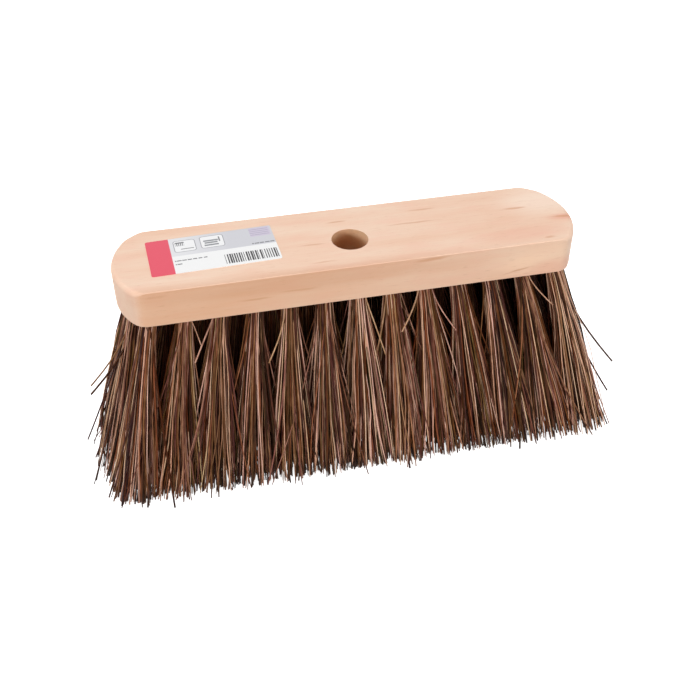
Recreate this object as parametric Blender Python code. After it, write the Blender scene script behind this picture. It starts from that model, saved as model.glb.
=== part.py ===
"""Broom head: a flat wooden stock with a slanted handle hole, four rows of bristle tufts and a paper label.

X runs along the stock and Y from its front to its back. The label reads from the front, at -Y.
Z is up, and the trimmed bristle tips stand on z = 0. Lengths are in metres and angles in degrees.
"""

import math

import bmesh
import bpy
from mathutils import Matrix, Vector

# Stock
STOCK_LENGTH = 0.305
STOCK_WIDTH = 0.072
STOCK_HEIGHT = 0.025
END_BOW = 0.0168
CORNER_RADIUS = 0.004
TOP_EDGE_ROUND = 0.002
LOWER_EDGE_CHAMFER = 0.0008

# Handle hole, drilled right through, its axis crossing the middle of the stock
HANDLE_HOLE_DIAMETER = 0.0238
HANDLE_LEAN = 18

# Tuft holes, measured on the underside. Rows lie at a distance from its middle, and stop short of its ends
TUFT_HOLE_DIAMETER = 0.0112
TUFT_HOLE_DEPTH = 0.0145
OUTER_ROW_Y = 0.026
INNER_ROW_Y = 0.0087
OUTER_ROW_END_MARGIN = 0.0193
INNER_ROW_END_MARGIN = 0.0128
OUTER_ROW_HOLES = 13
INNER_ROW_HOLES = 14
WALL_AT_HANDLE_HOLE = 0.0015

# Bristles
BRISTLE_LENGTH = 0.127
FAN_ALONG = 0.25
FAN_ACROSS = 0.69
BEND_HEIGHT_SHARE = 0.45
BEND_FAN_SHARE = 0.52
STRANDS_PER_TUFT = 8
STRAND_GAP = 0.0005
CORNER_STRAND_REACH = 0.016
SIDE_STRAND_REACH = 0.0062
BEND_SECTION_SHARE = 0.9
TIP_SECTION_SHARE = 0.8
FOLD_HEIGHT = 0.0025
FOLD_WIDTH_SHARE = 0.45

# Label, seen from above
LABEL_LENGTH = 0.082
LABEL_WIDTH = 0.041
LABEL_THICKNESS = 0.0003
LABEL_CORNER_RADIUS = 0.0015
LABEL_END_MARGIN = 0.0235
LABEL_OFF_MIDDLE = 0.0025
LABEL_TURN = 2.3

# Fit of a piece in its seat, and how far a cutter runs past the face it enters
CLEARANCE = 0.0003
CUT_OVERRUN = 0.002

# Facets
END_SEGMENTS = 16
CORNER_SEGMENTS = 4
EDGE_SEGMENTS = 3
HANDLE_HOLE_SIDES = 32
TUFT_HOLE_SIDES = 12


def clear_scene():
    for old in list(bpy.data.objects):
        bpy.data.objects.remove(old, do_unlink=True)


def make_finish(name, colour, roughness):
    """A plain surface of one colour, with no metal in it."""
    finish = bpy.data.materials.new(name)
    finish.use_nodes = True
    shader = finish.node_tree.nodes["Principled BSDF"]
    shader.inputs["Base Color"].default_value = (*colour, 1)
    shader.inputs["Roughness"].default_value = roughness
    shader.inputs["Metallic"].default_value = 0
    return finish


def make_object(name, bm, finish=None):
    """Turns a bmesh into an object of the scene, with its faces pointing outwards."""
    bmesh.ops.recalc_face_normals(bm, faces=bm.faces[:])
    mesh = bpy.data.meshes.new(name)
    bm.to_mesh(mesh)
    bm.free()
    made = bpy.data.objects.new(name, mesh)
    bpy.context.scene.collection.objects.link(made)
    if finish:
        mesh.materials.append(finish)
    return made


def vertices_of(geometry):
    return [item for item in geometry if isinstance(item, bmesh.types.BMVert)]


# Stock: a plank sawn to a plan with bowed ends, then rounded along its edges


def arc(centre_x, centre_y, radius, start, stop, segments):
    """Points along an arc in the XY plane, both ends included."""
    turns = [start + (stop - start) * step / segments for step in range(segments + 1)]
    return [Vector((centre_x + radius * math.cos(a), centre_y + radius * math.sin(a), 0)) for a in turns]


def end_outline():
    """The right end of the plan, from its front corner to its back corner."""
    half_width = STOCK_WIDTH / 2
    end_radius = (half_width**2 + END_BOW**2) / (2 * END_BOW)
    end_x = STOCK_LENGTH / 2 - end_radius
    corner_y = half_width - CORNER_RADIUS
    corner_x = end_x + math.sqrt((end_radius - CORNER_RADIUS) ** 2 - corner_y**2)
    meet = math.atan2(corner_y, corner_x - end_x)
    front = arc(corner_x, -corner_y, CORNER_RADIUS, -math.pi / 2, -meet, CORNER_SEGMENTS)
    bow = arc(end_x, 0, end_radius, -meet, meet, END_SEGMENTS)
    back = arc(corner_x, corner_y, CORNER_RADIUS, meet, math.pi / 2, CORNER_SEGMENTS)
    return front + bow[1:-1] + back


def build_stock(finish):
    right_end = end_outline()
    half_turn = Matrix.Rotation(math.pi, 3, "Z")
    left_end = [half_turn @ point for point in right_end]
    bm = bmesh.new()
    bm.faces.new([bm.verts.new(point) for point in right_end + left_end])
    raised = bmesh.ops.extrude_face_region(bm, geom=bm.faces[:])["geom"]
    bmesh.ops.translate(bm, verts=vertices_of(raised), vec=(0, 0, STOCK_HEIGHT))
    for height, offset, segments in ((STOCK_HEIGHT, TOP_EDGE_ROUND, EDGE_SEGMENTS), (0, LOWER_EDGE_CHAMFER, 1)):
        rim = [edge for edge in bm.edges if all(abs(v.co.z - height) < 1e-6 for v in edge.verts)]
        bmesh.ops.bevel(
            bm, geom=rim, offset=offset, offset_type="OFFSET", affect="EDGES",
            segments=segments, profile=0.5, material=-1,
        )
    return make_object("stock", bm, finish)


def handle_hole_cutter():
    """A straight drill that leans towards the front as it rises."""
    bm = bmesh.new()
    bmesh.ops.create_cone(
        bm, cap_ends=True, segments=HANDLE_HOLE_SIDES, radius1=HANDLE_HOLE_DIAMETER / 2,
        radius2=HANDLE_HOLE_DIAMETER / 2, depth=2 * (STOCK_HEIGHT + HANDLE_HOLE_DIAMETER),
    )
    cutter = make_object("handle_hole_cutter", bm)
    cutter.rotation_euler.x = math.radians(HANDLE_LEAN)
    cutter.location.z = STOCK_HEIGHT / 2
    return cutter


def breaks_into_handle_hole(x, y):
    """True where a tuft hole would open into the handle hole or leave too thin a wall."""
    lean = math.tan(math.radians(HANDLE_LEAN))
    reach = (HANDLE_HOLE_DIAMETER + TUFT_HOLE_DIAMETER) / 2 + WALL_AT_HANDLE_HOLE
    for height in (0, TUFT_HOLE_DEPTH):
        axis_y = (STOCK_HEIGHT / 2 - height) * lean
        if math.hypot(x, y - axis_y) < reach:
            return True
    return False


def tuft_places():
    """The name and place of each tuft on the underside, row by row from the front, left to right."""
    rows = (
        ("front", -OUTER_ROW_Y, OUTER_ROW_HOLES, OUTER_ROW_END_MARGIN),
        ("inner_front", -INNER_ROW_Y, INNER_ROW_HOLES, INNER_ROW_END_MARGIN),
        ("inner_back", INNER_ROW_Y, INNER_ROW_HOLES, INNER_ROW_END_MARGIN),
        ("back", OUTER_ROW_Y, OUTER_ROW_HOLES, OUTER_ROW_END_MARGIN),
    )
    places = []
    for row, y, holes, end_margin in rows:
        row_length = STOCK_LENGTH - 2 * end_margin
        columns = [row_length * (column / (holes - 1) - 0.5) for column in range(holes)]
        kept = [x for x in columns if not breaks_into_handle_hole(x, y)]
        places += [(f"tuft_{row}_{number:02d}", x, y) for number, x in enumerate(kept, start=1)]
    return places


def fan_offset(x, y, share):
    """How far the middle of a tuft has moved sideways where this share of its fan has opened."""
    return Vector((x * FAN_ALONG, y * FAN_ACROSS, 0)) * share


def root_slope(x, y):
    """Sideways travel for each metre down at the root. The drilled hole follows it."""
    return fan_offset(x, y, BEND_FAN_SHARE) / (BEND_HEIGHT_SHARE * BRISTLE_LENGTH)


def tuft_hole_cutter():
    """All the drilled tuft holes in one cutter. Each hole slants towards the middle as it rises."""
    bm = bmesh.new()
    height = TUFT_HOLE_DEPTH + CUT_OVERRUN
    for _, x, y in tuft_places():
        drill = bmesh.ops.create_cone(
            bm, cap_ends=True, segments=TUFT_HOLE_SIDES, radius1=TUFT_HOLE_DIAMETER / 2,
            radius2=TUFT_HOLE_DIAMETER / 2, depth=height,
        )
        for v in drill["verts"]:
            v.co += Vector((x, y, TUFT_HOLE_DEPTH - height / 2))
            v.co -= root_slope(x, y) * v.co.z
    return make_object("tuft_hole_cutter", bm)


def cut(stock, cutter):
    cutter.parent = stock
    cutter.hide_render = True
    cutter.display_type = "WIRE"
    modifier = stock.modifiers.new(cutter.name, "BOOLEAN")
    modifier.operation = "DIFFERENCE"
    modifier.solver = "EXACT"
    modifier.object = cutter


# Tufts: bristles folded double over a wire anchor and driven into a hole


def raise_fold(bm, lid):
    """The folded bristles stand up in a ridge across the top of the root, as far as the floor of the hole."""
    middle = lid.calc_center_median()
    pairs = []
    for side in (-1, 1):
        half = [v for v in lid.verts if side * (v.co.x - middle.x) > 0]
        pairs.append(sorted(half, key=lambda v: abs(v.co.x - middle.x))[:2])
    for pair in pairs:
        bmesh.ops.connect_verts(bm, verts=pair)
    ridge = [face for face in pairs[0][0].link_faces if all(v in face.verts for v in pairs[0] + pairs[1])]
    raised = vertices_of(bmesh.ops.extrude_face_region(bm, geom=ridge)["geom"])
    bmesh.ops.translate(bm, verts=raised, vec=(0, 0, FOLD_HEIGHT))
    for v in raised:
        v.co.x = middle.x + (v.co.x - middle.x) * FOLD_WIDTH_SHARE
    bmesh.ops.delete(bm, geom=ridge, context="FACES_ONLY")


def strand_reach(angle):
    """How far a strand's tip stands from the middle of its tuft, whose tips fill a square."""
    in_corner = abs(math.sin(2 * angle)) > 0.5
    return CORNER_STRAND_REACH if in_corner else SIDE_STRAND_REACH


def draw_strands(bm, wedges, x, y):
    """Draws each wedge of the root's lower face down into a strand, through the bend to the trimmed tip."""
    root_reach = wedges[0].calc_center_median().length
    opened, size = 0, 1
    for height_share, fan_share, section_share in (
        (BEND_HEIGHT_SHARE, BEND_FAN_SHARE, BEND_SECTION_SHARE),
        (1, 1, TIP_SECTION_SHARE),
    ):
        wedges = bmesh.ops.extrude_discrete_faces(bm, faces=wedges)["faces"]
        for face in wedges:
            middle = face.calc_center_median()
            from_axis = middle - fan_offset(x, y, opened)
            angle = math.atan2(from_axis.y, from_axis.x)
            reach = root_reach + (strand_reach(angle) - root_reach) * fan_share
            outwards = Vector((math.cos(angle), math.sin(angle), 0))
            target = fan_offset(x, y, fan_share) + outwards * reach
            for v in face.verts:
                v.co = target + (v.co - middle) * (section_share / size)
                v.co.z = -BRISTLE_LENGTH * height_share
        opened, size = fan_share, section_share


def build_tuft(name, x, y, finish):
    """One closed body round the tuft's own origin, which is the middle of its hole's mouth."""
    hole_inner_radius = TUFT_HOLE_DIAMETER / 2 * math.cos(math.pi / TUFT_HOLE_SIDES)
    root_height = TUFT_HOLE_DEPTH - FOLD_HEIGHT - CLEARANCE
    bm = bmesh.new()
    bmesh.ops.create_circle(
        bm, cap_ends=True, cap_tris=True, segments=STRANDS_PER_TUFT, radius=hole_inner_radius - CLEARANCE
    )
    bmesh.ops.rotate(bm, verts=bm.verts[:], matrix=Matrix.Rotation(math.pi / STRANDS_PER_TUFT, 3, "Z"))
    wedges = bm.faces[:]
    rim = [edge for edge in bm.edges if edge.is_boundary]
    walls = bmesh.ops.extrude_edge_only(bm, edges=rim)["geom"]
    climb = Vector((0, 0, 1)) - root_slope(x, y)
    bmesh.ops.translate(bm, verts=vertices_of(walls), vec=climb * root_height)
    top_edges = [edge for edge in bm.edges if edge.is_boundary]
    lid = bmesh.ops.contextual_create(bm, geom=top_edges)["faces"][0]
    raise_fold(bm, lid)
    bmesh.ops.recalc_face_normals(bm, faces=bm.faces[:])
    bmesh.ops.inset_individual(bm, faces=wedges, thickness=STRAND_GAP / 2, use_even_offset=True)
    draw_strands(bm, wedges, x, y)
    tuft = make_object(name, bm, finish)
    tuft.location = (x, y, 0)
    return tuft


# Label: printed paper glued to the top face


def build_label(finish):
    bm = bmesh.new()
    signs = ((-1, -1), (1, -1), (1, 1), (-1, 1))
    bm.faces.new([bm.verts.new((sx * LABEL_LENGTH / 2, sy * LABEL_WIDTH / 2, 0)) for sx, sy in signs])
    bmesh.ops.bevel(
        bm, geom=bm.verts[:], offset=LABEL_CORNER_RADIUS, offset_type="OFFSET", affect="VERTICES",
        segments=CORNER_SEGMENTS, profile=0.5, material=-1,
    )
    raised = bmesh.ops.extrude_face_region(bm, geom=bm.faces[:])["geom"]
    bmesh.ops.translate(bm, verts=vertices_of(raised), vec=(0, 0, LABEL_THICKNESS))
    label = make_object("label", bm, finish)
    label.rotation_euler.z = math.radians(LABEL_TURN)
    middle_x = -STOCK_LENGTH / 2 + LABEL_END_MARGIN + LABEL_LENGTH / 2
    label.location = (middle_x, LABEL_OFF_MIDDLE, STOCK_HEIGHT + CLEARANCE)
    return label


def build_broom_head():
    clear_scene()
    beech = make_finish("beech", (0.79, 0.59, 0.42), 0.6)
    bass_fibre = make_finish("bass_fibre", (0.13, 0.075, 0.045), 0.65)
    paper = make_finish("paper", (0.87, 0.86, 0.87), 0.5)
    stock = build_stock(beech)
    cut(stock, handle_hole_cutter())
    cut(stock, tuft_hole_cutter())
    for piece in [build_tuft(name, x, y, bass_fibre) for name, x, y in tuft_places()] + [build_label(paper)]:
        piece.parent = stock
    stock.location.z = BRISTLE_LENGTH


build_broom_head()
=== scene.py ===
"""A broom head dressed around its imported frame: beech stock, tufts of stiff plant fibre and a paper label.

Metres, +Z up. X runs along the stock and -Y is its front. The bristle tips stand on z = 0.
"""

import math
import random

import bmesh
import bpy
from mathutils import Matrix, Vector


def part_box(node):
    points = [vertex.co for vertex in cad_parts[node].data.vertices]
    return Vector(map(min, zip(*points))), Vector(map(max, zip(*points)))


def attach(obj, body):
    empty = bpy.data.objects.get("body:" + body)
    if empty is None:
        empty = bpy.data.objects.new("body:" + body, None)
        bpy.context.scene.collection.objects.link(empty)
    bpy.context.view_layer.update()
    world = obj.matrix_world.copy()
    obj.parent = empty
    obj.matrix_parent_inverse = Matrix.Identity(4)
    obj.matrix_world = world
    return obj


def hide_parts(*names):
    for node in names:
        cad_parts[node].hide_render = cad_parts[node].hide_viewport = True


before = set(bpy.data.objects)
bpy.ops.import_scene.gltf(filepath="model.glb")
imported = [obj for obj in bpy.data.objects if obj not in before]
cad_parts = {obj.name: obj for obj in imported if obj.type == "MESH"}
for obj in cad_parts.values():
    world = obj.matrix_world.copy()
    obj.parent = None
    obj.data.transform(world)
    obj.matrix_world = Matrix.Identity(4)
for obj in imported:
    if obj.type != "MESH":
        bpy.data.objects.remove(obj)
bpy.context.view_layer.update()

# Camera
# The photograph was taken from in front and above, a little to the left of the broom's middle.
# It looks down the long side, so that the left end is nearer than the right one.
CAMERA_PLACE = (-0.12325, -0.53117, 0.48885)
CAMERA_TURN_RIGHT = 13.166
CAMERA_LOOK_DOWN = 38.355
CAMERA_LENS_MM = 50.33
CAMERA_SENSOR_MM = 36

camera_data = bpy.data.cameras.new("photo_camera")
camera_data.lens = CAMERA_LENS_MM
camera_data.sensor_width = CAMERA_SENSOR_MM
camera = bpy.data.objects.new("photo_camera", camera_data)
camera.location = CAMERA_PLACE
camera.rotation_euler = (math.radians(90 - CAMERA_LOOK_DOWN), 0, math.radians(-CAMERA_TURN_RIGHT))
bpy.context.scene.collection.objects.link(camera)
bpy.context.scene.camera = camera
bpy.context.scene.view_settings.view_transform = "Standard"

# Studio
# A white sweep under the broom, a large soft lamp overhead, a lower lamp on each side in front, and pale
# light from all round. The sweep and the world look white to the camera, and the sweep keeps the shadow.
SWEEP_SIZE = 8
SWEEP_WHITE = 0.9
SWEEP_GLOW = 0.84
SWEEP_BOUNCE = 0.5
WORLD_LIGHT = 0.24

# Each lamp's name, its place, its width and its power in watts.
LAMPS = (
    ("top_lamp", (-0.3, -0.2, 2.6), 1.4, 42),
    ("side_lamp", (-1.8, -1.4, 0.75), 0.4, 18),
    ("fill_lamp", (0.9, -1.2, 0.45), 0.6, 6.8),
)


def add_node(tree, kind, inputs=None, **settings):
    """One node of a material. Among its inputs a value is set, and another node's output is linked."""
    node = tree.nodes.new("ShaderNode" + kind)
    for name, value in settings.items():
        setattr(node, name, value)
    for name, value in (inputs or {}).items():
        if isinstance(value, bpy.types.NodeSocket):
            tree.links.new(value, node.inputs[name])
        else:
            node.inputs[name].default_value = value
    return node


def worked_out(tree, operation, *values, **settings):
    """The outcome of one sum with numbers and other nodes' outputs."""
    return add_node(tree, "Math", dict(enumerate(values)), operation=operation, **settings).outputs[0]


def ranged(tree, value, start, end, low=0, high=1, **settings):
    """A number that goes from low to high while the value goes from start to end."""
    inputs = {"Value": value, "From Min": start, "From Max": end, "To Min": low, "To Max": high}
    return add_node(tree, "MapRange", inputs, **settings).outputs[0]


def seen_as_white(tree, otherwise, white):
    """The white value for rays from the camera and through gloss or glass, and the other for the rest."""
    rays = add_node(tree, "LightPath").outputs
    gloss = worked_out(tree, "ADD", rays["Is Glossy Ray"], rays["Is Transmission Ray"])
    seen = worked_out(tree, "ADD", gloss, rays["Is Camera Ray"], use_clamp=True)
    return ranged(tree, seen, 0, 1, otherwise, white)


def place_mesh(name, bm, *finishes):
    """Turns a bmesh into an object of the scene that wears these materials."""
    mesh = bpy.data.meshes.new(name)
    bm.to_mesh(mesh)
    bm.free()
    for finish in finishes:
        mesh.materials.append(finish)
    made = bpy.data.objects.new(name, mesh)
    bpy.context.scene.collection.objects.link(made)
    return made


def new_finish(name, **shader_values):
    """A material with a Principled shader, and that shader."""
    finish = bpy.data.materials.new(name)
    finish.use_nodes = True
    shader = finish.node_tree.nodes["Principled BSDF"]
    for socket, value in shader_values.items():
        shader.inputs[socket.replace("_", " ")].default_value = value
    return finish, shader


studio = bpy.data.worlds.new("studio")
studio.use_nodes = True
studio_tree = studio.node_tree
backdrop = studio_tree.nodes["Background"]
backdrop.inputs["Color"].default_value = (1, 1, 1, 1)
studio_tree.links.new(seen_as_white(studio_tree, WORLD_LIGHT, 1), backdrop.inputs["Strength"])
bpy.context.scene.world = studio

sweep_finish, sweep_shader = new_finish("studio_sweep", Roughness=0.9, Emission_Color=(1, 1, 1, 1))
sweep_tree = sweep_finish.node_tree
sweep_tree.links.new(seen_as_white(sweep_tree, 0, SWEEP_GLOW), sweep_shader.inputs["Emission Strength"])
sweep_colour = seen_as_white(sweep_tree, SWEEP_BOUNCE, SWEEP_WHITE)
sweep_tree.links.new(sweep_colour, sweep_shader.inputs["Base Color"])
sweep_bm = bmesh.new()
bmesh.ops.create_grid(sweep_bm, x_segments=1, y_segments=1, size=SWEEP_SIZE / 2)
place_mesh("studio_sweep", sweep_bm, sweep_finish)

for name, place, size, power in LAMPS:
    lamp_data = bpy.data.lights.new(name, "AREA")
    lamp_data.size = size
    lamp_data.energy = power
    lamp = bpy.data.objects.new(name, lamp_data)
    lamp.location = place
    lamp.rotation_euler = (-Vector(place)).to_track_quat("-Z", "Y").to_euler()
    bpy.context.scene.collection.objects.link(lamp)

# Stock
# One planed length of beech with its ends sawn to a bow. Its long edges are only broken, and its ends are
# sanded to a softer round. The handle hole is drilled through it at a slant, and the blind tuft holes fan
# out from its underside.
stock_low, stock_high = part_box("stock")
HALF_LENGTH = (stock_high.x - stock_low.x) / 2
HALF_WIDTH = (stock_high.y - stock_low.y) / 2
END_BOW = 0.0142
END_OFF_SQUARE = 0.0007
END_STEPS = 18
FRONT_CORNER_RADIUS = 0.012
BACK_CORNER_RADIUS = 0.018
CORNER_STEPS = 12
LONG_EDGE_ROUND = 0.0006
END_EDGE_ROUND = 0.0034
LOWER_EDGE_ROUND = 0.0005
UPPER_ROUND_STEPS = 6
LOWER_ROUND_STEPS = 3
HANDLE_HOLE_RADIUS = 0.0119
HANDLE_HOLE_SIDES = 96
HANDLE_HOLE_EASE = 0.0003
HANDLE_LEAN = 18
HANDLE_DRILL_LENGTH = 0.06
TUFT_HOLE_RADIUS = 0.0056
TUFT_HOLE_SIDES = 20
TUFT_HOLE_DEPTH = 0.0145
TUFT_DRILL_OVERRUN = 0.002
SHARP_ANGLE = 35

# The top edge has the ends' full round where it faces this far along X.
END_ROUND_FACING = 0.6

# A tuft hole leans this many times as much as the line from its mouth to the tuft's tips.
TUFT_ROOT_LEAN = 1.156

# How near two heights have to be to count as one, in the frame's meshes and in one made here.
FRAME_ROUNDING = 0.0001
TOUCHING = 1e-6

# The sockets of a Mix node that mix colours.
MIX_UNDER = 6
MIX_OVER = 7
MIX_RESULT = 2

# Tones of the wood from dark to pale, as a screen shows them. The holes' wood is warmer, and its tones are
# paler as painted light on the hole walls; deep down a painted shade darkens them.
PLANED_TONES = ((0.0, (235, 192, 165)), (0.5, (240, 205, 181)), (1.0, (243, 216, 194)))
BORED_TONES_AND_PAINTED_LIGHT = ((0.0, (238, 186, 142)), (0.5, (252, 210, 168)), (1.0, (254, 224, 188)))
BORE_PAINTED_SHADE = (196, 116, 46)
BORE_PAINTED_SHADE_SHARE = 0.4
BORE_PAINTED_SHADE_FROM = 0.0006
BORE_PAINTED_SHADE_TO = 0.014

# Noise drawn out along the grain: patches to a metre along and across it, its turn in degrees, its detail.
BLOTCHES = (12, 60, 2, 3)
STREAKS = (26, 560, 1, 4)
BLUSHES = (38, 110, 4, 2)
RAGGED_EDGES = (60, 260, 0, 3)
FLECKS = (130, 1500, 1, 2)
STREAK_SHARE = 0.24
TONE_RANGE = (0.28, 0.72)
BLUSH_COLOUR = (240, 192, 170)
BLUSH_SHARE = 0.3
BLUSH_RANGE = (0.5, 0.66)
FLECK_COLOUR = (186, 132, 96)
FLECK_SHARE = 0.25
FLECK_RANGE = (0.62, 0.74)
# The upright faces' warm colour is partly their grain's own and partly painted shade, strongest at the left.
WARM_SHADE_COLOUR = (222, 154, 94)
END_WARMTH_AND_SHADE = 0.12
LONG_FACE_WARMTH_AND_SHADE = 0.36
LONG_FACE_RANGE = (0.8, 0.97)
WARMTH_AND_SHADE_AT_LEFT = 1.15
WARMTH_AND_SHADE_AT_RIGHT = 0.3
WARMTH_AND_SHADE_FADES = (-0.1, 0.15)
MARK_EDGE = 1.15
MARK_CORE = 0.3
RAGGED_REACH = Vector((0.012, 0.002, 0.002))
BROWN_GRAIN = (206, 146, 106)
PINK_GRAIN = (230, 166, 140)
PALE_GRAIN = (252, 232, 214)
WARM_GRAIN = (255, 216, 182)

# Single marks in the grain: the middle, the reach each way, the tilt in degrees, the strength, the colour.
GRAIN_MARKS = (
    ((0.140, 0.015, 0.1520), (0.040, 0.020, 0.003), 0, 0.55, PALE_GRAIN),
    ((0.112, -0.023, 0.1520), (0.042, 0.011, 0.003), 2, 0.34, PINK_GRAIN),
    ((0.128, -0.036, 0.1400), (0.050, 0.003, 0.0150), 0, 0.36, WARM_GRAIN),
    ((0.128, -0.036, 0.1310), (0.044, 0.003, 0.0080), 8, 0.40, PINK_GRAIN),
    ((0.108, -0.036, 0.1385), (0.064, 0.003, 0.0052), 9, 0.34, WARM_GRAIN),
    ((-0.04, -0.037, 0.1520), (0.170, 0.0090, 0.0030), 0, 0.26, BROWN_GRAIN),
    ((-0.03, -0.036, 0.1455), (0.120, 0.005, 0.0080), 0, 0.34, BROWN_GRAIN),
    ((0.045, -0.036, 0.1500), (0.014, 0.003, 0.0014), 3, 0.60, BROWN_GRAIN),
    ((-0.068, -0.036, 0.1373), (0.013, 0.002, 0.0010), 0, 0.50, BROWN_GRAIN),
    ((-0.039, -0.036, 0.1402), (0.015, 0.002, 0.0010), 0, 0.45, BROWN_GRAIN),
    ((-0.128, -0.035, 0.1485), (0.010, 0.002, 0.0016), 0, 0.45, BROWN_GRAIN),
    ((0.106, -0.036, 0.1328), (0.050, 0.002, 0.0008), 9, 0.58, BROWN_GRAIN),
    ((-0.025, -0.0054, 0.152), (0.010, 0.0009, 0.002), 0, 0.45, BROWN_GRAIN),
    ((-0.021, -0.0267, 0.152), (0.008, 0.0010, 0.002), 0, 0.40, BROWN_GRAIN),
    ((-0.004, 0.0188, 0.152), (0.009, 0.0014, 0.002), 0, 0.55, BROWN_GRAIN),
    ((0.044, 0.0064, 0.152), (0.020, 0.0010, 0.002), 0, 0.50, BROWN_GRAIN),
    ((0.054, 0.0220, 0.152), (0.012, 0.0011, 0.002), 0, 0.50, BROWN_GRAIN),
    ((0.148, -0.0085, 0.152), (0.019, 0.0046, 0.003), -4, 0.62, PINK_GRAIN),
    ((0.146, -0.0080, 0.152), (0.013, 0.0013, 0.003), -6, 0.55, BROWN_GRAIN),
    ((0.116, 0.0090, 0.152), (0.009, 0.0014, 0.002), 0, 0.60, BROWN_GRAIN),
    ((0.127, -0.0310, 0.152), (0.006, 0.0016, 0.002), 0, 0.50, BROWN_GRAIN),
)


def middle_of(points):
    """The middle of the box round some points."""
    return (Vector(map(min, *points)) + Vector(map(max, *points))) / 2


def tuft_lines():
    """Each tuft's name, the middle of the mouth of its hole, and the middle of its trimmed tips."""
    lines = []
    for name in sorted(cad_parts):
        if name.startswith("tuft_"):
            points = [v.co.copy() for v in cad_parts[name].data.vertices]
            mouth = middle_of([p for p in points if abs(p.z - stock_low.z) < FRAME_ROUNDING])
            tips = middle_of([p for p in points if p.z < FRAME_ROUNDING])
            lines.append((name, mouth, tips))
    return lines


def seen_colour(red, green, blue):
    """A colour as a screen shows it, from 0 to 255, as the linear values that a shader takes."""
    parts = [level / 255 for level in (red, green, blue)]
    return [p / 12.92 if p < 0.04045 else ((p + 0.055) / 1.055) ** 2.4 for p in parts] + [1]


def colour_ramp(tree, value, tones):
    """A ramp with one of these screen colours at each place from 0 to 1."""
    ramp = add_node(tree, "ValToRGB", {0: value})
    while len(ramp.color_ramp.elements) < len(tones):
        ramp.color_ramp.elements.new(1)
    for element, (place, colour) in zip(ramp.color_ramp.elements, tones):
        element.position = place
        element.color = seen_colour(*colour)
    return ramp.outputs[0]


def coloured_over(tree, under, share, colour, **settings):
    """The colour underneath, with this share of another one over it."""
    inputs = {"Factor": share, MIX_UNDER: under, MIX_OVER: colour}
    return add_node(tree, "Mix", inputs, data_type="RGBA", **settings).outputs[MIX_RESULT]


def measured_along(tree, axis, place):
    """How far a place lies along one axis."""
    return add_node(tree, "SeparateXYZ", {0: place}).outputs[axis]


def beech_finish(name, tones):
    """Pale wood: soft blotches and fine streaks along the grain, brown flecks and a few darker marks."""
    finish, shader = new_finish(name, Roughness=0.55, Specular_IOR_Level=0.35)
    tree = finish.node_tree
    place = add_node(tree, "TexCoord").outputs["Object"]

    def grain_noise(along, across, turn, detail):
        turned = (0, math.radians(turn), math.radians(turn))
        scale = (along, across, across)
        drawn_out = add_node(tree, "Mapping", {"Vector": place, "Rotation": turned, "Scale": scale})
        noise = {"Vector": drawn_out.outputs[0], "Scale": 1, "Detail": detail}
        return add_node(tree, "TexNoise", noise).outputs

    streaks = grain_noise(*STREAKS)["Fac"]
    streak_part = worked_out(tree, "MULTIPLY", streaks, STREAK_SHARE)
    tone = worked_out(tree, "MULTIPLY_ADD", grain_noise(*BLOTCHES)["Fac"], 1 - STREAK_SHARE, streak_part)
    wood = colour_ramp(tree, ranged(tree, tone, *TONE_RANGE), tones)
    blush = ranged(tree, grain_noise(*BLUSHES)["Fac"], *BLUSH_RANGE, high=BLUSH_SHARE)
    wood = coloured_over(tree, wood, blush, seen_colour(*BLUSH_COLOUR))

    # The upright faces are warmer than the top, the long ones most: partly their grain's own colour, partly
    # painted shade, which is laid on more strongly towards the left, where less light falls.
    facing = add_node(tree, "NewGeometry").outputs["Normal"]
    sideways = worked_out(tree, "ABSOLUTE", measured_along(tree, "Y", facing))
    face_warmth_and_shade = ranged(tree, sideways, *LONG_FACE_RANGE, END_WARMTH_AND_SHADE, LONG_FACE_WARMTH_AND_SHADE)
    lying = worked_out(tree, "ABSOLUTE", measured_along(tree, "Z", facing))
    upright = worked_out(tree, "SUBTRACT", 1, lying)
    along = measured_along(tree, "X", place)
    painted_shade_along = ranged(tree, along, *WARMTH_AND_SHADE_FADES, WARMTH_AND_SHADE_AT_LEFT, WARMTH_AND_SHADE_AT_RIGHT)
    warmth_and_shade = worked_out(tree, "MULTIPLY", worked_out(tree, "MULTIPLY", face_warmth_and_shade, upright), painted_shade_along)
    wood = coloured_over(tree, wood, warmth_and_shade, seen_colour(*WARM_SHADE_COLOUR))

    ragged = add_node(
        tree, "VectorMath", {0: grain_noise(*RAGGED_EDGES)["Color"], 1: RAGGED_REACH, 2: place},
        operation="MULTIPLY_ADD",
    ).outputs[0]
    for middle, reach, tilt, strength, colour in GRAIN_MARKS:
        turned = (0, math.radians(-tilt), math.radians(tilt))
        shift = Vector(middle) + RAGGED_REACH / 2
        away = add_node(
            tree, "Mapping", {"Vector": ragged, "Location": shift, "Rotation": turned, "Scale": reach},
            vector_type="TEXTURE",
        ).outputs[0]
        distance = add_node(tree, "VectorMath", {0: away}, operation="LENGTH").outputs["Value"]
        mark = ranged(
            tree, distance, MARK_EDGE, MARK_CORE, high=strength, interpolation_type="SMOOTHSTEP"
        )
        wood = coloured_over(tree, wood, mark, seen_colour(*colour))

    flecks = ranged(tree, grain_noise(*FLECKS)["Fac"], *FLECK_RANGE, high=FLECK_SHARE)
    wood = coloured_over(tree, wood, flecks, seen_colour(*FLECK_COLOUR))
    tree.links.new(wood, shader.inputs["Base Color"])
    bump = add_node(tree, "Bump", {"Height": streaks, "Strength": 0.3, "Distance": 0.0002})
    tree.links.new(bump.outputs[0], shader.inputs["Normal"])
    return finish


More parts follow.
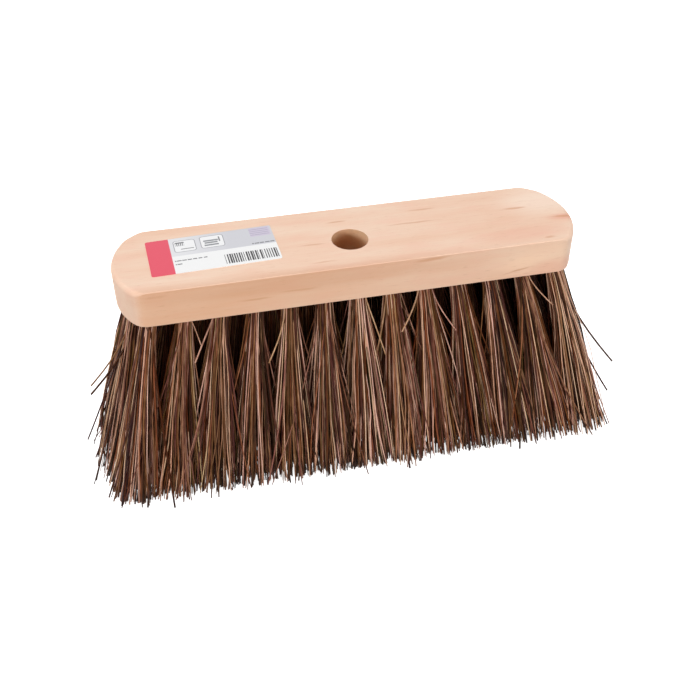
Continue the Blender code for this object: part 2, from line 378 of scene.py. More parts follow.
def add_drill(bm, radius, depth, sides, shift):
    """Adds a drill to a bmesh and moves each of its points by this function."""
    drill = bmesh.ops.create_cone(
        bm, cap_ends=True, segments=sides, radius1=radius, radius2=radius, depth=depth
    )
    for v in drill["verts"]:
        v.co = shift(v.co)
    for face in {face for v in drill["verts"] for face in v.link_faces}:
        face.material_index = 1


def settle(piece):
    """Makes the result of a piece's modifiers its own mesh."""
    whole = piece.evaluated_get(bpy.context.evaluated_depsgraph_get())
    piece.data = bpy.data.meshes.new_from_object(whole)
    piece.modifiers.clear()


def drill_out(piece, bm):
    """Cuts a bmesh of drills out of a piece. The cut faces take the piece's second material."""
    bmesh.ops.recalc_face_normals(bm, faces=bm.faces[:])
    drills = place_mesh("drills", bm, *piece.data.materials)
    cutting = piece.modifiers.new("drilling", "BOOLEAN")
    cutting.operation = "DIFFERENCE"
    cutting.solver = "EXACT"
    cutting.object = drills
    settle(piece)
    bpy.data.objects.remove(drills)


def corner_place(radius, end_radius):
    """How far along and across the middle of a round corner lies, and where the end's arc meets it."""
    across = HALF_WIDTH - radius
    meeting = math.asin(across / (end_radius - radius))
    return HALF_LENGTH - end_radius + (end_radius - radius) * math.cos(meeting), across, meeting


def stock_plan():
    """Points round the stock as seen from above, each with its outward direction."""
    end_radius = (HALF_WIDTH**2 + END_BOW**2) / (2 * END_BOW)
    front_x, front_y, front_meeting = corner_place(FRONT_CORNER_RADIUS, end_radius)
    back_x, back_y, back_meeting = corner_place(BACK_CORNER_RADIUS, end_radius)
    bm = bmesh.new()
    last = bm.verts.new((front_x, -HALF_WIDTH, 0))
    for middle, turn, steps in (
        ((front_x, -front_y, 0), math.pi / 2 - front_meeting, CORNER_STEPS),
        ((HALF_LENGTH - end_radius, 0, 0), front_meeting + back_meeting, END_STEPS),
        ((back_x, back_y, 0), math.pi / 2 - back_meeting, CORNER_STEPS),
    ):
        swept = bmesh.ops.spin(bm, geom=[last], cent=middle, axis=(0, 0, 1), angle=turn, steps=steps)
        last = next(item for item in swept["geom_last"] if isinstance(item, bmesh.types.BMVert))
    for v in bm.verts:
        v.co.x -= v.co.y * END_OFF_SQUARE / end_radius
    bmesh.ops.mirror(bm, geom=bm.verts[:] + bm.edges[:], axis="X", merge_dist=-1)
    for side in (-1, 1):
        reach = [v for v in bm.verts if abs(v.co.y - side * HALF_WIDTH) < TOUCHING]
        bmesh.ops.contextual_create(bm, geom=reach)
    bmesh.ops.contextual_create(bm, geom=bm.edges[:])
    bmesh.ops.recalc_face_normals(bm, faces=bm.faces[:])
    up = bm.faces[:][0].normal.z
    plan = []
    for loop in bm.faces[:][0].loops:
        here = loop.vert.co
        before = loop.link_loop_prev.vert.co
        after = loop.link_loop_next.vert.co
        along = ((here - before).normalized() + (after - here).normalized()) * up
        plan.append((here.copy(), Vector((along.y, -along.x, 0)).normalized()))
    bm.free()
    return plan


def edge_rings():
    """Each ring of the stock from the bottom up: the turn of its edge, and whether it is at the top."""
    quarter = math.pi / 2
    lower = [(quarter * (1 - step / LOWER_ROUND_STEPS), False) for step in range(LOWER_ROUND_STEPS + 1)]
    upper = [(quarter * step / UPPER_ROUND_STEPS, True) for step in range(UPPER_ROUND_STEPS + 1)]
    return lower + upper


def ring_point(point, outward, turn, at_top):
    """Where a point of the plan lies on one ring. The top edge goes over to the ends' softer round."""
    if at_top:
        ease = min(1, abs(outward.x) / END_ROUND_FACING)
        radius = LONG_EDGE_ROUND + (END_EDGE_ROUND - LONG_EDGE_ROUND) * ease**2 * (3 - 2 * ease)
        height = stock_high.z - radius * (1 - math.sin(turn))
    else:
        radius = LOWER_EDGE_ROUND
        height = stock_low.z + radius * (1 - math.sin(turn))
    inset = point - outward * radius * (1 - math.cos(turn))
    return Vector((inset.x, inset.y, height))


plan = stock_plan()
stock_bm = bmesh.new()
place_round = stock_bm.verts.layers.int.new("place_round")
rings = edge_rings()
ring = []
for order, (point, outward) in enumerate(plan):
    v = stock_bm.verts.new(ring_point(point, outward, *rings[0]))
    v[place_round] = order
    ring.append(v)
edges = stock_bm.faces.new(ring).edges[:]
for turn, at_top in rings[1:]:
    drawn = bmesh.ops.extrude_edge_only(stock_bm, edges=edges)["geom"]
    edges = [item for item in drawn if isinstance(item, bmesh.types.BMEdge) and item.is_boundary]
    for v in drawn:
        if isinstance(v, bmesh.types.BMVert):
            v.co = ring_point(*plan[v[place_round]], turn, at_top)
bmesh.ops.holes_fill(stock_bm, edges=edges, sides=0)
bmesh.ops.recalc_face_normals(stock_bm, faces=stock_bm.faces[:])

planed = beech_finish("beech_planed", PLANED_TONES)
# The drilled faces get paler tones than the planed ones, as painted light on the hole walls.
bored = beech_finish("beech_bored", BORED_TONES_AND_PAINTED_LIGHT)
bored_tree = bored.node_tree
bored_shader = bored_tree.nodes["Principled BSDF"]
bare_wood = bored_shader.inputs["Base Color"].links[0].from_socket
# Painted shade: the hole walls turn darker and browner from just under the top face downwards.
bored_height = measured_along(bored_tree, "Z", add_node(bored_tree, "TexCoord").outputs["Object"])
depth_shade = ranged(
    bored_tree, bored_height, stock_high.z - BORE_PAINTED_SHADE_FROM, stock_high.z - BORE_PAINTED_SHADE_TO,
    high=BORE_PAINTED_SHADE_SHARE,
)
shaded_bored_wood = coloured_over(bored_tree, bare_wood, depth_shade, seen_colour(*BORE_PAINTED_SHADE))
bored_tree.links.new(shaded_bored_wood, bored_shader.inputs["Base Color"])
stock = place_mesh("stock_beech", stock_bm, planed, bored)

lean = Matrix.Rotation(math.radians(HANDLE_LEAN), 3, "X")
hole_middle = (stock_low + stock_high) / 2
handle_drill = bmesh.new()
add_drill(
    handle_drill, HANDLE_HOLE_RADIUS, HANDLE_DRILL_LENGTH, HANDLE_HOLE_SIDES,
    lambda p: lean @ p + hole_middle,
)
drill_out(stock, handle_drill)
tuft_drills = bmesh.new()
for _, mouth, tips in tuft_lines():
    fan = (tips - mouth) * TUFT_ROOT_LEAN / (mouth.z - tips.z)
    fan.z = 0
    lift = mouth + Vector((0, 0, (TUFT_HOLE_DEPTH - TUFT_DRILL_OVERRUN) / 2))
    add_drill(
        tuft_drills, TUFT_HOLE_RADIUS, TUFT_HOLE_DEPTH + TUFT_DRILL_OVERRUN, TUFT_HOLE_SIDES,
        lambda p: p + lift - fan * (p.z + lift.z - mouth.z),
    )
drill_out(stock, tuft_drills)

stock_bm = bmesh.new()
stock_bm.from_mesh(stock.data)
hole_rim = [
    edge for edge in stock_bm.edges
    if all(abs(v.co.z - stock_high.z) < TOUCHING for v in edge.verts)
    and sorted(face.material_index for face in edge.link_faces) == [0, 1]
]
bmesh.ops.bevel(
    stock_bm, geom=hole_rim, offset=HANDLE_HOLE_EASE, affect="EDGES", segments=2, profile=0.5, material=-1
)
for face in stock_bm.faces:
    face.smooth = True
stock_bm.to_mesh(stock.data)
stock_bm.free()
stock.data.set_sharp_from_angle(angle=math.radians(SHARP_ANGLE))
shading = stock.modifiers.new("even_shading", "WEIGHTED_NORMAL")
shading.keep_sharp = True
settle(stock)
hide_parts("stock")
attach(stock, "root")

# Bristles
# Each tuft is a bundle of stiff brown plant fibres, folded double over a wire anchor and driven into its
# hole. They leave it packed tight, spread under their own spring, and are trimmed level after filling.
OUTER_TUFT_FIBRES = 280
INNER_TUFT_FIBRES = 180
FIBRE_SIDES = 5
FIBRE_RADIUS = 0.00058
FIBRE_RADIUS_SCATTER = 0.2
THINNEST_FIBRE = 0.75
STOUTEST_FIBRE = 1.35
FLATTEST_FIBRE = 0.6
LIGHT_THINNING = 0.41
HEIGHT_STEPS = (0, 0.06, 0.15, 0.27, 0.40, 0.54, 0.68, 0.82, 0.92, 1)
GOLDEN_TURN = math.pi * (3 - math.sqrt(5))
PACKED_RADIUS = 0.005
PACKING_JITTER = 0.04
ROOT_INSIDE = 0.004
TUFT_SPREAD = 0.0118
SQUARED_SPREAD = 0.8
SPREAD_DELAY = 1.4
SPREAD_SCATTER = 0.0021
SCATTER_ACROSS = 0.4
FAN_EASE = 0.88
CLUMPS_PER_TUFT = 30
CLUMPING = 0.34
CLUMPING_DELAY = 5
CLUMP_UNEVENNESS = 0.0034
TRIM_UNEVENNESS = 0.0016
TIP_CLEARANCE = 0.0003
FIBRE_BOW = 0.0020
FIBRE_WAVE = 0.0004
WAVES_PER_FIBRE = (1, 2)
WAVE_STARTS_BY = 0.25

# No inner tufts stand by the handle hole, so the outer ones there are fuller and spread into the room.
ROOM_REACH = 0.052
ROOM_FILLING = 0.5
ROOM_SPREAD = 1.0
ROOM_HASTE = 0.5

# The skirt is the outline of all the tips. It stands a little askew, and no tip goes far past it.
SKIRT_SHIFT = Vector((0.003, -0.0038, 0))
SKIRT_TURN = 0.008
SKIRT_REACH = 0.1868
SKIRT_DEPTH = 0.0682
END_DRAWN_IN = 0.97
END_TUFTS_FROM = 0.12

# Tones go from 0, dark, to 1, pale. Some tufts are lighter or darker, partly as painted light and shade.
# The pale fibres are partly a lighter kind of fibre, partly a painted highlight on the fibres.
LIGHT_SHARE = 0.41
LIGHT_TONES = (0.97, 0.14)
DARK_TONES = (0.27, 0.17)
LIGHTEST_TONE = 1.1
STRAY_SHARE = 0.11
END_STRAY_SHARE = 0.01
STRAY_SCATTER = 0.015
STRAY_TONE = 0.52
STRAY_TONE_SCATTER = 0.12
# Painted shade: a fibre at the middle of a tuft keeps this share of its tone, one at the edge all of it.
CORE_PAINTED_SHADE = 0.6
# Painted shade: the inner tufts away from the ends are darker, so the gaps between front tufts look deep.
INNER_PAINTED_SHADE = 0.55
# Factors on some tufts' tone: partly their own tone, partly painted light on the tufts at the left end.
TUFT_TONES_AND_PAINTED_LIGHT = {
    "tuft_front_01": 1.3, "tuft_front_02": 0.92, "tuft_front_03": 0.95, "tuft_front_07": 1.1,
    "tuft_front_08": 1.3, "tuft_front_09": 0.92, "tuft_front_13": 1.6, "tuft_back_01": 1.3,
}
PATCH_SCALE = (420, 420, 70)
PATCH_SHARE = 0.5
CUT_END_REACH = 0.014
CUT_END_SHADE = 0.16
# The palest browns, greyish pink with less hue over them, are partly a painted highlight.
FIBRE_BROWNS = ((0.0, (46, 15, 4)), (0.35, (104, 60, 38)), (0.7, (170, 134, 108)), (1.0, (238, 214, 190)))
FIBRE_HUES = (
    (0.0, (118, 64, 66)), (0.3, (126, 78, 60)), (0.6, (126, 92, 50)), (0.85, (190, 84, 22)),
    (1.0, (118, 100, 46)),
)
HUE_SHARE_DARK = 0.84
HUE_SHARE_LIGHT = 0.38

# Each fibre has a strip of its tuft's UV map to itself, with these margins.
STRIP_SIDE_MARGIN = 0.1
STRIP_END_MARGIN = 0.01

# Fibres that have sprung out: the tuft, the place of the tip, the bow to the right, and the tone.
# Pale is painted light on strays over the dark gaps, dark is painted shade on strays seen against the white.
PAINTED_LIGHT_TONE = 0.8
MIDDLING = 0.5
PAINTED_SHADE_TONE = 0.1
STRAY_STOUTNESS = 1.3
STRAY_THINNING = 0.5
STRAY_EASE = 1.3
STRAYS = (
    ("tuft_front_13", (0.1857, -0.0400, 0.0446), -0.0015, PAINTED_SHADE_TONE),
    ("tuft_front_13", (0.1867, -0.0400, 0.0168), -0.0015, PAINTED_SHADE_TONE),
    ("tuft_inner_front_01", (-0.1864, -0.0200, 0.0290), -0.0010, PAINTED_SHADE_TONE),
    ("tuft_inner_front_01", (-0.1769, -0.0200, 0.0748), 0.0040, MIDDLING),
    ("tuft_inner_front_01", (-0.1781, -0.0200, 0.0676), 0.0060, PAINTED_SHADE_TONE),
    ("tuft_front_02", (-0.1041, -0.0380, 0.1094), 0.0005, PAINTED_LIGHT_TONE),
    ("tuft_front_03", (-0.1093, -0.0420, 0.0990), -0.0010, PAINTED_LIGHT_TONE),
    ("tuft_front_05", (-0.0625, -0.0420, 0.0903), 0.0015, PAINTED_LIGHT_TONE),
    ("tuft_front_04", (-0.0613, -0.0500, 0.0197), -0.0060, PAINTED_LIGHT_TONE),
    ("tuft_front_07", (0.0157, -0.0420, 0.0826), 0.0010, PAINTED_LIGHT_TONE),
    ("tuft_front_09", (0.0268, -0.0400, 0.0985), 0.0010, PAINTED_LIGHT_TONE),
    ("tuft_front_09", (0.0636, -0.0420, 0.0952), -0.0010, PAINTED_LIGHT_TONE),
    ("tuft_front_12", (0.1312, -0.0420, 0.1046), -0.0010, PAINTED_LIGHT_TONE),
    ("tuft_front_01", (-0.1756, -0.0690, 0.0203), 0.0010, PAINTED_SHADE_TONE),
    ("tuft_front_01", (-0.1525, -0.0690, 0.0051), 0.0010, PAINTED_SHADE_TONE),
    ("tuft_front_01", (-0.1352, -0.0690, 0.0008), -0.0010, PAINTED_SHADE_TONE),
    ("tuft_front_04", (-0.0829, -0.0690, 0.0084), 0.0010, PAINTED_SHADE_TONE),
    ("tuft_front_08", (0.0278, -0.0690, 0.0005), -0.0010, PAINTED_SHADE_TONE),
    ("tuft_front_12", (0.1090, -0.0690, 0.0014), 0.0010, PAINTED_SHADE_TONE),
)


def fibre_finish():
    """Dull brown plant fibre. Each fibre has its own tone and tint and changes a little along its length."""
    finish, shader = new_finish("bass_fibre", Roughness=0.4, Specular_IOR_Level=0.07)
    tree = finish.node_tree
    tone = add_node(tree, "Attribute", attribute_name="tone").outputs["Fac"]
    tint = add_node(tree, "Attribute", attribute_name="tint").outputs["Fac"]
    place = add_node(tree, "TexCoord").outputs["Object"]
    flow = add_node(tree, "Mapping", {"Vector": place, "Scale": PATCH_SCALE}).outputs[0]
    patches = add_node(tree, "TexNoise", {"Vector": flow, "Scale": 1, "Detail": 2}).outputs["Fac"]
    uneven_tone = worked_out(tree, "MULTIPLY_ADD", patches, PATCH_SHARE, tone)
    height = measured_along(tree, "Z", place)
    darkening = ranged(
        tree, height, 0, CUT_END_REACH, low=PATCH_SHARE / 2 + CUT_END_SHADE, high=PATCH_SHARE / 2
    )
    level = worked_out(tree, "SUBTRACT", uneven_tone, darkening)
    hue_share = ranged(tree, level, 0, 1, HUE_SHARE_DARK, HUE_SHARE_LIGHT)
    brown = colour_ramp(tree, level, FIBRE_BROWNS)
    hue = colour_ramp(tree, tint, FIBRE_HUES)
    tinted = coloured_over(tree, brown, hue_share, hue, blend_type="COLOR")
    tree.links.new(tinted, shader.inputs["Base Color"])
    return finish


def disc_place(rank, count, turn=0.0):
    """The place of one of a number of points spread evenly over a disc of radius 1."""
    angle = rank * GOLDEN_TURN + turn
    return Vector((math.cos(angle), math.sin(angle), 0)) * math.sqrt((rank + 0.5) / count)


def squared_off(place):
    """The same place after the round disc has been pushed out to nearly a square."""
    return place * (max(abs(place.x), abs(place.y)) / place.length) ** -SQUARED_SPREAD


def fibre_line(dice, mouth, tips, packed, room, clumps, scatter):
    """The points of one fibre, from inside the hole to its trimmed end."""
    clump, clump_cut = min(clumps, key=lambda clump: (clump[0] - packed).length)
    # Only the fibres on the tuft's inner side have room.
    if packed.y * mouth.y > 0:
        room = 0
    spread = TUFT_SPREAD * (1 + ROOM_SPREAD * room)
    delay = SPREAD_DELAY - ROOM_HASTE * room
    drift = Vector((dice.gauss(0, scatter), dice.gauss(0, scatter * SCATTER_ACROSS), 0))
    fan = Vector((tips.x * END_DRAWN_IN - mouth.x, tips.y - mouth.y - tips.x * SKIRT_TURN, 0)) + SKIRT_SHIFT
    reach = mouth + fan + drift + squared_off(packed) * spread + packed * PACKED_RADIUS
    drift.x -= math.copysign(max(0, abs(reach.x) - SKIRT_REACH), reach.x)
    drift.y -= math.copysign(max(0, abs(reach.y) - SKIRT_DEPTH), reach.y)
    bow = Vector((dice.gauss(0, FIBRE_BOW), dice.gauss(0, FIBRE_BOW), 0))
    wave = Vector((dice.gauss(0, FIBRE_WAVE), dice.gauss(0, FIBRE_WAVE), 0))
    wave_start = dice.random() * 2 * math.pi
    wave_turns = dice.uniform(*WAVES_PER_FIBRE) * 2 * math.pi
    length = mouth.z - TIP_CLEARANCE - clump_cut - dice.random() ** 2 * TRIM_UNEVENNESS
    points = []
    for step in HEIGHT_STEPS:
        gathered = squared_off(packed.lerp(clump, CLUMPING * step**CLUMPING_DELAY)) * spread + drift
        fanned = Vector((fan.x * step**FAN_EASE, fan.y * step, 0))
        point = mouth + packed * PACKED_RADIUS + fanned + gathered * step**delay
        point += bow * math.sin(math.pi * step) * step**0.5
        point += wave * math.sin(wave_start + wave_turns * step) * min(1, step / WAVE_STARTS_BY)
        point.z = mouth.z - length * step
        points.append(point)
    lean_in = fan * TUFT_ROOT_LEAN / mouth.z * ROOT_INSIDE
    return [points[0] - lean_in + Vector((0, 0, ROOT_INSIDE))] + points


def stray_line(mouth, end, bow):
    """The points of a fibre that has sprung out of its tuft."""
    sideways = Vector((end.x - mouth.x, end.y - mouth.y, 0))
    start = mouth + sideways.normalized() * PACKED_RADIUS
    points = [start + Vector((0, 0, ROOT_INSIDE))]
    for step in HEIGHT_STEPS:
        point = start.lerp(end, step**STRAY_EASE)
        point.x += bow * math.sin(math.pi * step)
        point.z = start.z + (end.z - start.z) * step
        points.append(point)
    return points


def tuft_fibres(dice, name, mouth, tips):
    """The fibres of one tuft, each as its line, its radius and its tone."""
    turn = dice.uniform(0, 2 * math.pi)
    clumps = [
        (disc_place(rank, CLUMPS_PER_TUFT, turn), dice.random() ** 2 * CLUMP_UNEVENNESS)
        for rank in range(CLUMPS_PER_TUFT)
    ]
    inner = "inner" in name
    at_end = abs(mouth.x) > END_TUFTS_FROM
    # Painted shade on the inner tufts, else each tuft's own tone, with painted light on the left end tufts.
    painted_light_shade_and_tone = INNER_PAINTED_SHADE if inner and not at_end else TUFT_TONES_AND_PAINTED_LIGHT.get(name, 1)
    room = max(0, 1 - mouth.xy.length / ROOM_REACH)
    count = round((INNER_TUFT_FIBRES if inner else OUTER_TUFT_FIBRES) * (1 + ROOM_FILLING * room))
    fibres = []
    for rank in range(count):
        packed = disc_place(rank, count)
        packed += Vector((dice.gauss(0, PACKING_JITTER), dice.gauss(0, PACKING_JITTER), 0))
        packed /= max(1, packed.length)
        tone = dice.gauss(*LIGHT_TONES) if dice.random() < LIGHT_SHARE else dice.gauss(*DARK_TONES)
        # Painted shade: fibres towards the middle of the tuft are darker.
        tone = (CORE_PAINTED_SHADE + (1 - CORE_PAINTED_SHADE) * packed.length) * min(LIGHTEST_TONE, max(0, tone))
        scatter = SPREAD_SCATTER
        # End tufts' strays get a dark tone, a painted shade for fibres seen against the light.
        if dice.random() < (END_STRAY_SHARE if at_end else STRAY_SHARE):
            tone = dice.gauss(PAINTED_SHADE_TONE if at_end else STRAY_TONE, STRAY_TONE_SCATTER)
            scatter = STRAY_SCATTER
        stoutness = min(STOUTEST_FIBRE, max(THINNEST_FIBRE, dice.gauss(1, FIBRE_RADIUS_SCATTER)))
        radius = FIBRE_RADIUS * (1 - LIGHT_THINNING * tone) * stoutness
        line = fibre_line(dice, mouth, tips, packed, room, clumps, scatter)
        fibres.append((line, radius, painted_light_shade_and_tone * tone))
    for owner, end, bow, tone in STRAYS:
        if owner == name:
            radius = FIBRE_RADIUS * (STRAY_STOUTNESS - STRAY_THINNING * tone)
            fibres.append((stray_line(mouth, Vector(end), bow), radius, tone))
    return fibres


def build_bristles(name, fibres, finish, dice):
    """One tuft as a mesh of closed tubes, drawn down level by level from a ring for each fibre."""
    bm = bmesh.new()
    number = bm.verts.layers.int.new("fibre")
    corner = bm.verts.layers.int.new("corner")
    height = bm.verts.layers.float.new("height")
    tone = bm.verts.layers.float.new("tone")
    tint = bm.verts.layers.float.new("tint")
    turns = []
    for order, (line, radius, fibre_tone) in enumerate(fibres):
        flattened = Matrix.Diagonal((1, dice.uniform(FLATTEST_FIBRE, 1), 1, 1))
        turned = Matrix.Rotation(dice.uniform(0, math.pi), 4, "Z")
        placed = Matrix.Translation(line[0]) @ turned @ flattened
        fibre_tint = dice.random()
        ring = bmesh.ops.create_circle(
            bm, cap_ends=True, segments=FIBRE_SIDES, radius=radius, matrix=placed
        )
        for side, v in enumerate(ring["verts"]):
            v[number] = order
            v[corner] = side
            v[tone] = fibre_tone
            v[tint] = fibre_tint
        tangents = [(b - a).normalized() for a, b in zip(line, line[1:])]
        tangents.append(tangents[-1])
        turns.append([a.rotation_difference(b) for a, b in zip(tangents, tangents[1:])])
    edges = bm.edges[:]
    for level in range(1, len(HEIGHT_STEPS) + 1):
        drawn = bmesh.ops.extrude_edge_only(bm, edges=edges)["geom"]
        edges = [item for item in drawn if isinstance(item, bmesh.types.BMEdge) and item.is_boundary]
        for v in drawn:
            if isinstance(v, bmesh.types.BMVert):
                line = fibres[v[number]][0]
                v.co = line[level] + turns[v[number]][level - 1] @ (v.co - line[level - 1])
                v[height] = level / len(HEIGHT_STEPS)
    for face in bm.faces:
        face.smooth = True
    for lid in bmesh.ops.holes_fill(bm, edges=edges, sides=0)["faces"]:
        lid.smooth = False
    bmesh.ops.recalc_face_normals(bm, faces=bm.faces[:])
    strips = bm.loops.layers.uv.new("OFBake")
    for face in bm.faces:
        wraps = len(face.verts) == 4 and {v[corner] for v in face.verts} == {0, FIBRE_SIDES - 1}
        for loop in face.loops:
            side = FIBRE_SIDES if wraps and loop.vert[corner] == 0 else loop.vert[corner]
            across = STRIP_SIDE_MARGIN + (1 - 2 * STRIP_SIDE_MARGIN) * side / FIBRE_SIDES
            down = STRIP_END_MARGIN + (1 - 2 * STRIP_END_MARGIN) * loop.vert[height]
            loop[strips].uv = ((loop.vert[number] + across) / len(fibres), down)
    return place_mesh(name, bm, finish)


bass_fibre = fibre_finish()
for order, (name, mouth, tips) in enumerate(tuft_lines()):
    dice = random.Random(order)
    fibres = tuft_fibres(dice, name, mouth, tips)
    tuft = build_bristles(name.replace("tuft", "bristles"), fibres, bass_fibre, dice)
    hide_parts(name)
    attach(tuft, "root")

# Label
# A printed paper label glued down flat on the top face, left of the handle hole, a little askew. Its print
# is a red strip, a grey panel with two small pictures, three short broken lines and a row of bars.
label_low, label_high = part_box("label")
LABEL_LENGTH = 0.082
LABEL_WIDTH = 0.041
LABEL_TURN = 2.3
LABEL_CORNER_ROUND = 0.0015
LABEL_CORNER_STEPS = 6
PAPER_THICKNESS = 0.0002
GLUE_GAP = 0.00003
PAPER_WHITE = (243, 243, 243)
PANEL_GREY_LEFT = (226, 226, 229)
PANEL_GREY_RIGHT = (208, 208, 214)
LILAC_INK = (205, 196, 214)
LILAC_LINE_INK = (172, 166, 186)
OUTLINE_INK = (158, 158, 164)
PICTURE_WHITE = (242, 242, 243)
GREY_INK = (120, 120, 124)
STRIPE_INK = (140, 142, 147)
BAR_INK = (52, 50, 52)
RED_INK = (227, 79, 100)
INK_BLEED = 0.00012
INK_CORNER = 0.0002
PRINT_REACH = 0.05
RED_STRIP_EDGE = -0.0262
PANEL_FOOT = -0.001
PICTURE_CORNER = 0.002
PICTURE_INNER_CORNER = 0.0016
OUTLINE_WIDTH = 0.0005
WORD_HEIGHT = 0.0011

# What is cut into upright bars: their pitch, and the least and the most share of it that a bar takes.
HAIR_CUT = (0.0012, 0.45, 0.55)
WORD_CUT = (0.0034, 0.7, 0.95)
BAR_CUT = (0.0015, 0.25, 0.8)

# Each box of the print: its middle to the right and up from the label's middle, its length and its height.
RED_STRIP = ((RED_STRIP_EDGE - PRINT_REACH) / 2, 0, PRINT_REACH + RED_STRIP_EDGE, 2 * PRINT_REACH)
PANEL = (0, (PRINT_REACH + PANEL_FOOT) / 2, 2 * PRINT_REACH, PRINT_REACH - PANEL_FOOT)
LILAC_PATCH = (0.033, 0.0145, 0.0135, 0.0105)
LILAC_LINES = tuple((0.0325, up, 0.0125, 0.0006) for up in (0.0112, 0.0134, 0.0156, 0.0178))
PICTURES = ((-0.0166, 0.0101, 0.0142, 0.0138), (0.0012, 0.0108, 0.0155, 0.0142))
BRUSH_BACK = (-0.0196, 0.0144, 0.0058, 0.0014)
BRUSH_HAIR = (-0.0196, 0.0122, 0.0058, 0.0034)
MEASURE = (-0.0152, 0.0066, 0.0084, 0.0008)
STRIPES = (
    (0.0004, 0.0122, 0.0096, 0.0017),
    (0.0004, 0.0098, 0.0084, 0.0017),
    (0.0004, 0.0070, 0.0092, 0.0017),
)
POST = (0.0060, 0.0128, 0.0009, 0.0056)
BARS = (0.0228, -0.0125, 0.0345, 0.0108)

# The broken lines that stand for words: where each starts and ends, and its height.
WORD_LINES = ((-0.025, -0.0045, -0.0066), (-0.025, -0.0205, -0.0105), (0.0255, 0.0405, 0.001))


def printed_area(tree, place, across, up, long, tall, corner=INK_CORNER):
    """1 inside a box with rounded corners on the label, and 0 outside it."""
    inner = (long / 2 - corner, tall / 2 - corner, 1)
    offset = add_node(tree, "VectorMath", {0: place, 1: (across, up, 0)}, operation="SUBTRACT")
    away = add_node(tree, "VectorMath", {0: offset.outputs[0]}, operation="ABSOLUTE")
    past = add_node(tree, "VectorMath", {0: away.outputs[0], 1: inner}, operation="SUBTRACT")
    outside = add_node(tree, "VectorMath", {0: past.outputs[0], 1: (0, 0, 0)}, operation="MAXIMUM")
    reach = add_node(tree, "VectorMath", {0: outside.outputs[0]}, operation="LENGTH").outputs["Value"]
    return ranged(tree, reach, corner + INK_BLEED / 2, corner - INK_BLEED / 2)


def broken_up(tree, place, area, pitch, least, most):
    """An area cut into upright bars, one to a pitch and each this share of it wide."""
    pitches = worked_out(tree, "MULTIPLY", measured_along(tree, "X", place), 1 / pitch)
    whole = worked_out(tree, "FLOOR", pitches)
    rest = worked_out(tree, "SUBTRACT", pitches, whole)
    luck = add_node(tree, "TexWhiteNoise", {"W": whole}, noise_dimensions="1D").outputs["Value"]
    bars = worked_out(tree, "LESS_THAN", rest, ranged(tree, luck, 0, 1, least, most))
    return worked_out(tree, "MULTIPLY", area, bars)


def printed_layers(tree, place):
    """Each area printed over the panel, in order, with its ink."""
    layers = [(printed_area(tree, place, *LILAC_PATCH), LILAC_INK)]
    for line in LILAC_LINES:
        layers.append((printed_area(tree, place, *line), LILAC_LINE_INK))
    for across, up, long, tall in PICTURES:
        outline = printed_area(tree, place, across, up, long, tall, PICTURE_CORNER)
        size = (long - 2 * OUTLINE_WIDTH, tall - 2 * OUTLINE_WIDTH)
        layers.append((outline, OUTLINE_INK))
        layers.append((printed_area(tree, place, across, up, *size, PICTURE_INNER_CORNER), PICTURE_WHITE))
    layers.append((printed_area(tree, place, *BRUSH_BACK), GREY_INK))
    hair = printed_area(tree, place, *BRUSH_HAIR)
    layers.append((broken_up(tree, place, hair, *HAIR_CUT), GREY_INK))
    layers.append((printed_area(tree, place, *MEASURE), GREY_INK))
    for stripe in STRIPES:
        layers.append((printed_area(tree, place, *stripe), STRIPE_INK))
    layers.append((printed_area(tree, place, *POST), GREY_INK))
    for start, end, up in WORD_LINES:
        line = printed_area(tree, place, (start + end) / 2, up, end - start, WORD_HEIGHT)
        layers.append((broken_up(tree, place, line, *WORD_CUT), GREY_INK))
    bars = printed_area(tree, place, *BARS)
    layers.append((broken_up(tree, place, bars, *BAR_CUT), BAR_INK))
    layers.append((printed_area(tree, place, *RED_STRIP), RED_INK))
    return layers


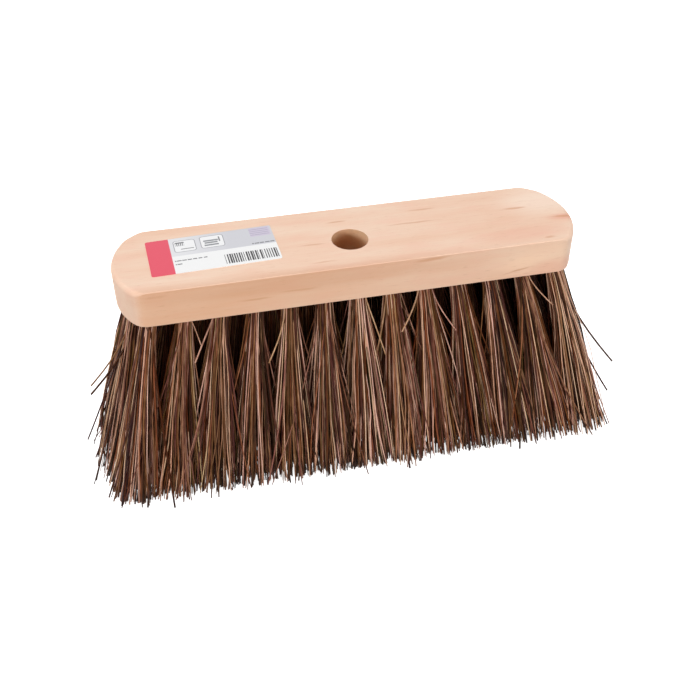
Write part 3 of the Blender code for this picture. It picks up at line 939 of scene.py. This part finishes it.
def label_finish(middle):
    """Satin coated paper with its print, laid out in metres from the middle of the label."""
    finish, shader = new_finish("label_paper", Roughness=0.38)
    tree = finish.node_tree
    glued = {
        "Vector": add_node(tree, "TexCoord").outputs["Object"], "Location": middle,
        "Rotation": (0, 0, math.radians(LABEL_TURN)),
    }
    place = add_node(tree, "Mapping", glued, vector_type="TEXTURE").outputs[0]
    fade = ranged(tree, measured_along(tree, "X", place), -0.02, 0.012)
    grey = coloured_over(tree, seen_colour(*PANEL_GREY_LEFT), fade, seen_colour(*PANEL_GREY_RIGHT))
    ink = coloured_over(tree, seen_colour(*PAPER_WHITE), printed_area(tree, place, *PANEL), grey)
    for area, colour in printed_layers(tree, place):
        ink = coloured_over(tree, ink, area, seen_colour(*colour))
    tree.links.new(ink, shader.inputs["Base Color"])
    grain = add_node(tree, "Mapping", {"Vector": place, "Scale": (900, 900, 900)}).outputs[0]
    fibres = add_node(tree, "TexNoise", {"Vector": grain, "Scale": 1, "Detail": 3}).outputs["Fac"]
    bump = add_node(tree, "Bump", {"Height": fibres, "Strength": 0.12, "Distance": 0.00005})
    tree.links.new(bump.outputs[0], shader.inputs["Normal"])
    return finish


label_bm = bmesh.new()
bmesh.ops.create_grid(label_bm, x_segments=1, y_segments=1, size=0.5)
bmesh.ops.scale(label_bm, vec=(LABEL_LENGTH, LABEL_WIDTH, 1), verts=label_bm.verts[:])
bmesh.ops.bevel(
    label_bm, geom=label_bm.verts[:], offset=LABEL_CORNER_ROUND, affect="VERTICES",
    segments=LABEL_CORNER_STEPS, profile=0.5, material=-1,
)
raised = bmesh.ops.extrude_face_region(label_bm, geom=label_bm.faces[:])["geom"]
raised = [item for item in raised if isinstance(item, bmesh.types.BMVert)]
bmesh.ops.translate(label_bm, verts=raised, vec=(0, 0, PAPER_THICKNESS))
label_turn = Matrix.Rotation(math.radians(LABEL_TURN), 3, "Z")
bmesh.ops.rotate(label_bm, verts=label_bm.verts[:], matrix=label_turn)
label_middle = (label_low + label_high) / 2
label_middle.z = stock_high.z + GLUE_GAP
bmesh.ops.translate(label_bm, verts=label_bm.verts[:], vec=label_middle)
bmesh.ops.recalc_face_normals(label_bm, faces=label_bm.faces[:])
label = place_mesh("label_print", label_bm, label_finish(label_middle))
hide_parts("label")
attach(label, "root")
